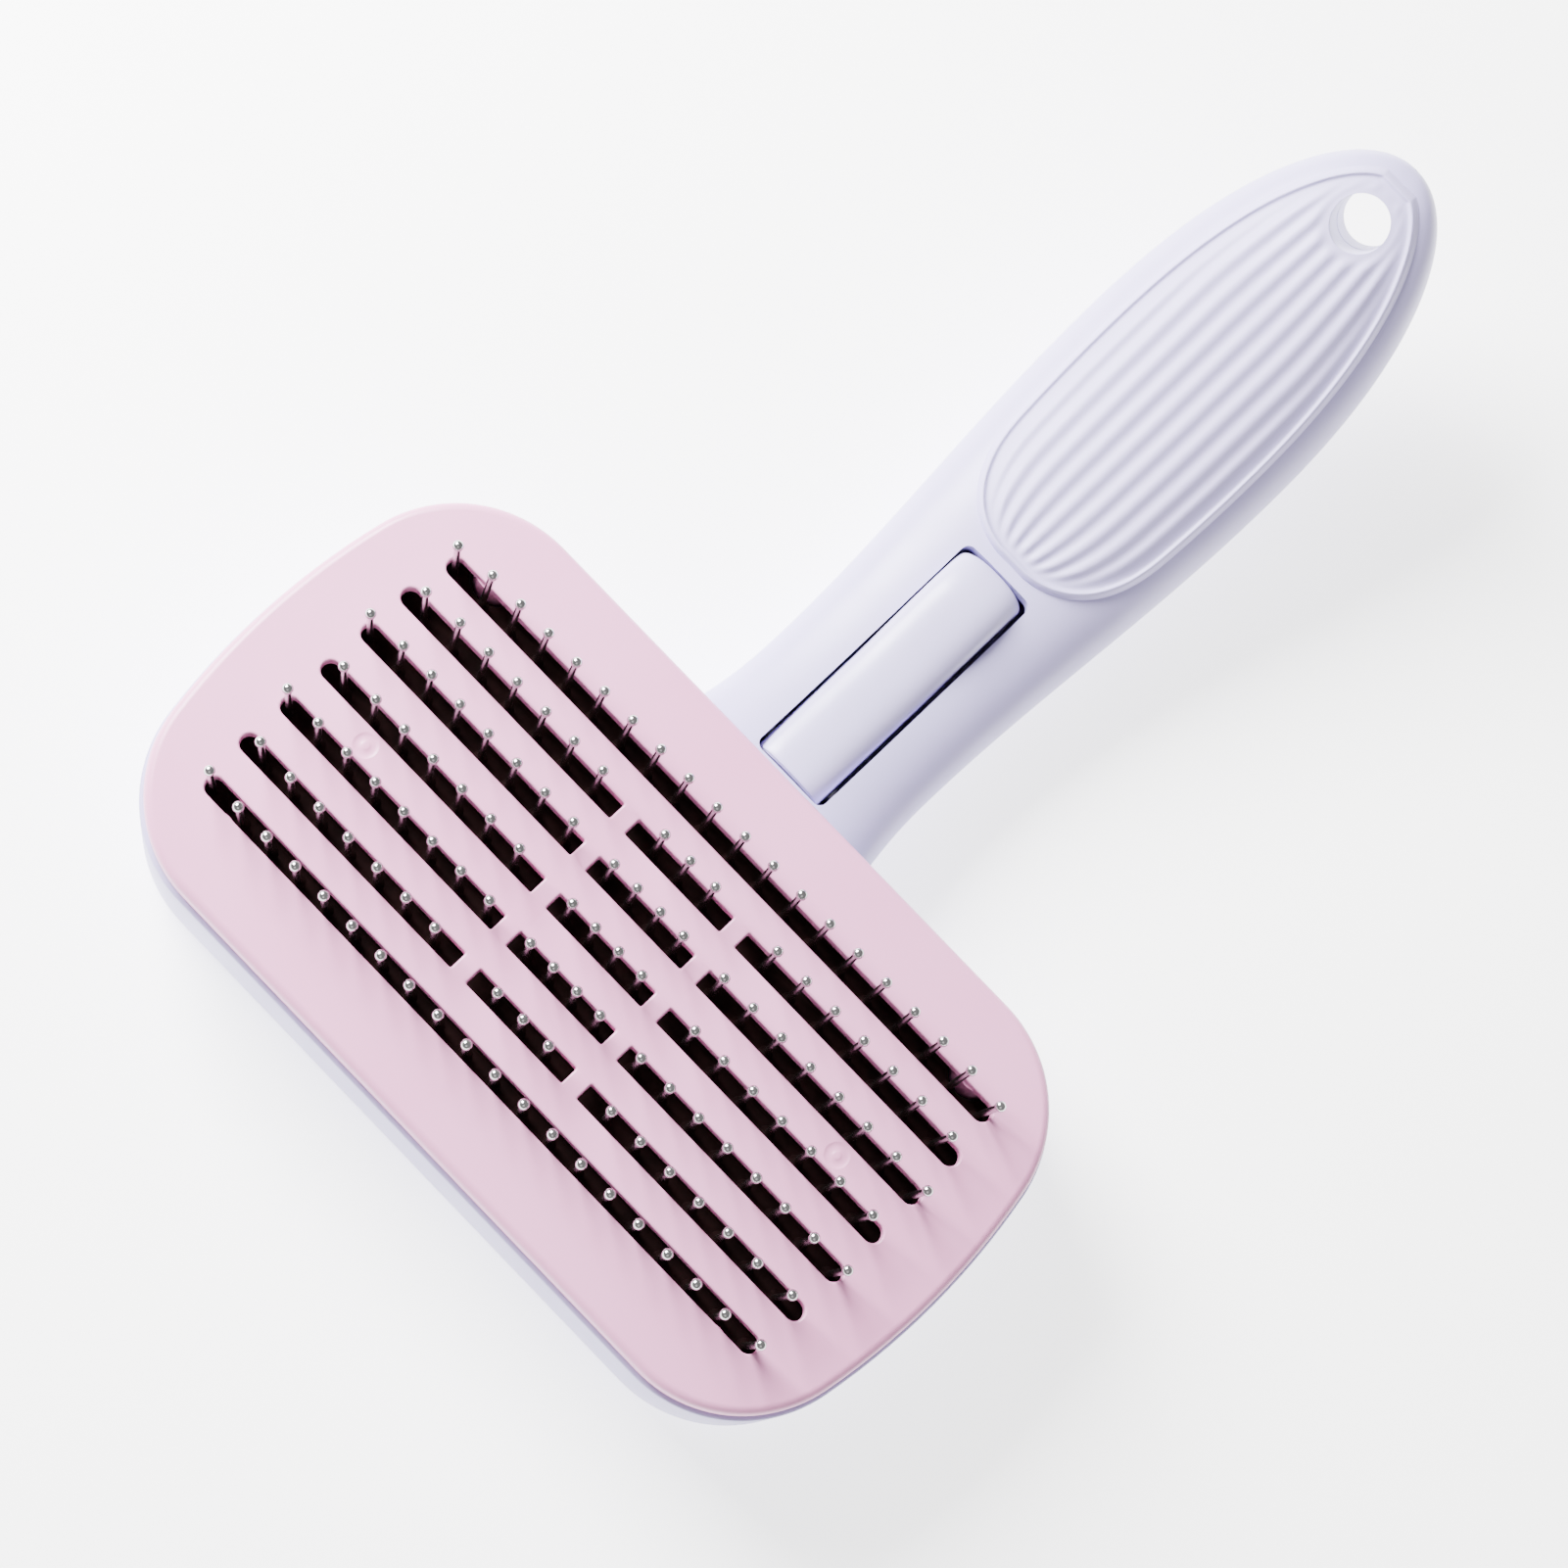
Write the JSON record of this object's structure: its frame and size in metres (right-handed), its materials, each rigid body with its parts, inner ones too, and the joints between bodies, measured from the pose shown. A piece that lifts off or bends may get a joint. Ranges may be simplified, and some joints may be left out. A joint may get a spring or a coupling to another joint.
{
  "type": "slicker brush",
  "caption": "Self-cleaning slicker brush: ball-tipped wire pins on a wide head, a curved grip with a hanging hole, and a finger lever that lifts the slotted plate to push hair off",
  "frame": {"origin": "centre of the bounding box at floor level; the brush lies on its back", "axes": "+Z is the way the pins point, +Y runs from the head to the end of the handle, X goes across the head"},
  "size_m": [0.1186, 0.1772, 0.0397],
  "materials": {
    "shell": "satin moulded plastic, pale lilac white",
    "pad": "soft moulded rubber, pale lilac white",
    "plate": "smooth semi-gloss plastic, pale pink",
    "board": "plain dark plastic",
    "cushion": "matt dark rubber",
    "pins": "drawn steel wire with polished ball ends",
    "frame": "plain pink moulded plastic",
    "lever": "satin moulded plastic, pale lilac white",
    "spring": "plain spring wire",
    "steel": "plain zinc-plated steel"
  },
  "bodies": {
    "housing": {"back_shell": "shell", "handle_cover": "shell", "grip_pad": "pad", "pin_board": "board", "pin_cushion": "cushion", "pin_row_1": "pins", "pin_row_2": "pins", "pin_row_3": "pins", "pin_row_4": "pins", "pin_row_5": "pins", "pin_row_6": "pins", "pin_row_7": "pins", "board_screws": "steel", "case_screws": "steel", "lever_pivot_pin": "steel", "return_spring_1": "spring", "return_spring_2": "spring", "return_spring_3": "spring", "return_spring_4": "spring"},
    "plate_carriage": {"stripper_plate": "plate", "lift_frame": "frame", "lift_frame_screws": "steel"},
    "trigger": {"trigger_lever": "lever", "lever_link_pin": "steel"}
  },
  "joints": [
    {"name": "trigger_press", "type": "hinge", "parent": "housing", "child": "trigger", "pos_m": [0, -0.01798, 0.00885], "axis": [-1, 0, 0], "range_deg": [0, 9.81]},
    {"name": "plate_lift", "type": "slide", "parent": "housing", "child": "plate_carriage", "axis": [0, 0, 1], "range_m": [0, 0.0065], "stiffness_N_per_m": 120, "springref_m": -0.006, "deforming": ["return_spring_1", "return_spring_2", "return_spring_3", "return_spring_4"]}
  ],
  "couplings": [
    {"joint": "trigger_press", "follows": "plate_lift", "rad_per_m": 26.316}
  ]
}
